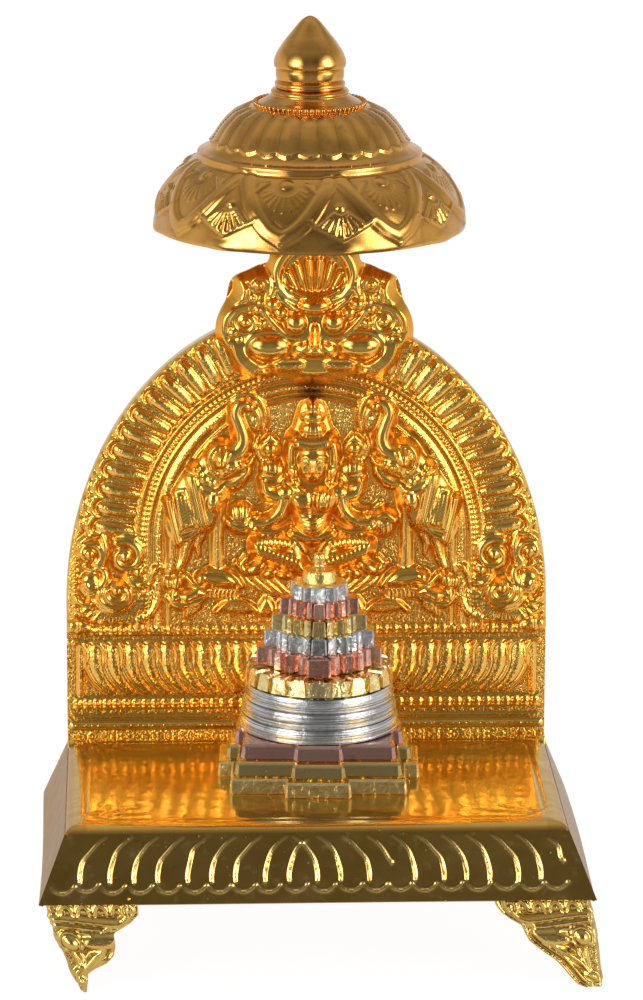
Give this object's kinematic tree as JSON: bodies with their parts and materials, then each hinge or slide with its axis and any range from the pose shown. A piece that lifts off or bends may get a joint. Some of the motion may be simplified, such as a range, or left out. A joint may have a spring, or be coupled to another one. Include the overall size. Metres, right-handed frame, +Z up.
{
  "type": "arched tabletop shrine",
  "caption": "Footed sheet-metal shrine seat with an embossed arched back, a parasol on a rear stem and a stepped tower idol on the seat.",
  "frame": {"origin": "on the ground, midway between the outermost points in both directions", "axes": "+Z up, -Y towards the front, +X to the right as seen from the front"},
  "size_m": [0.0996, 0.0806, 0.1626],
  "materials": {
    "pressed_gold": "bright gold-plated pressed sheet with a fine beaten grain in its grounds",
    "seat_gold": "polished gold plating with engraved sprays and rolling marks",
    "skirt_gold": "polished pale gold plating, engraved strokes, dusty pits",
    "foot_gold": "pressed pale gold plating",
    "rim_gold": "plain folded sheet, satin gold",
    "parasol_gold": "spun and chased sheet, satin gold",
    "plated_steel": "dull plated strip and fittings",
    "idol_gold": "bright pale gold plating on a casting",
    "idol_silver": "bright silver plating with turning lines",
    "idol_copper": "bright copper plating"
  },
  "bodies": {
    "root": {"seat_plate": "seat_gold", "skirt_front": "skirt_gold", "skirt_rear": "skirt_gold", "skirt_left": "skirt_gold", "skirt_right": "skirt_gold", "foot_front_left": "foot_gold", "foot_front_right": "foot_gold", "foot_rear_left": "foot_gold", "foot_rear_right": "foot_gold", "back_plate": "pressed_gold", "back_rim": "rim_gold", "bead_row_lower": "pressed_gold", "leaf_band": "pressed_gold", "bead_row_upper": "pressed_gold", "rope_moulding": "pressed_gold", "flutes_left": "pressed_gold", "flutes_right": "pressed_gold", "scroll_left": "pressed_gold", "scroll_right": "pressed_gold", "lotus_throne": "pressed_gold", "goddess_figure": "pressed_gold", "elephant_left": "pressed_gold", "elephant_right": "pressed_gold", "foliage_left": "pressed_gold", "foliage_right": "pressed_gold", "crest_mask": "pressed_gold", "crest_shell": "pressed_gold", "parasol_stem": "plated_steel", "stem_rivets": "plated_steel", "parasol_canopy": "parasol_gold", "parasol_collar": "parasol_gold", "parasol_finial": "parasol_gold", "stem_nut": "plated_steel", "idol_base_lower": "idol_gold", "idol_base_middle": "idol_gold", "idol_base_upper": "idol_copper", "idol_drum": "idol_silver", "idol_petal_ring": "idol_gold", "idol_tier_1": "idol_copper", "idol_tier_2": "idol_silver", "idol_tier_3": "idol_gold", "idol_tier_4": "idol_copper", "idol_tier_5": "idol_silver", "idol_cap": "idol_gold", "idol_finial": "idol_gold"}
  },
  "joints": []
}
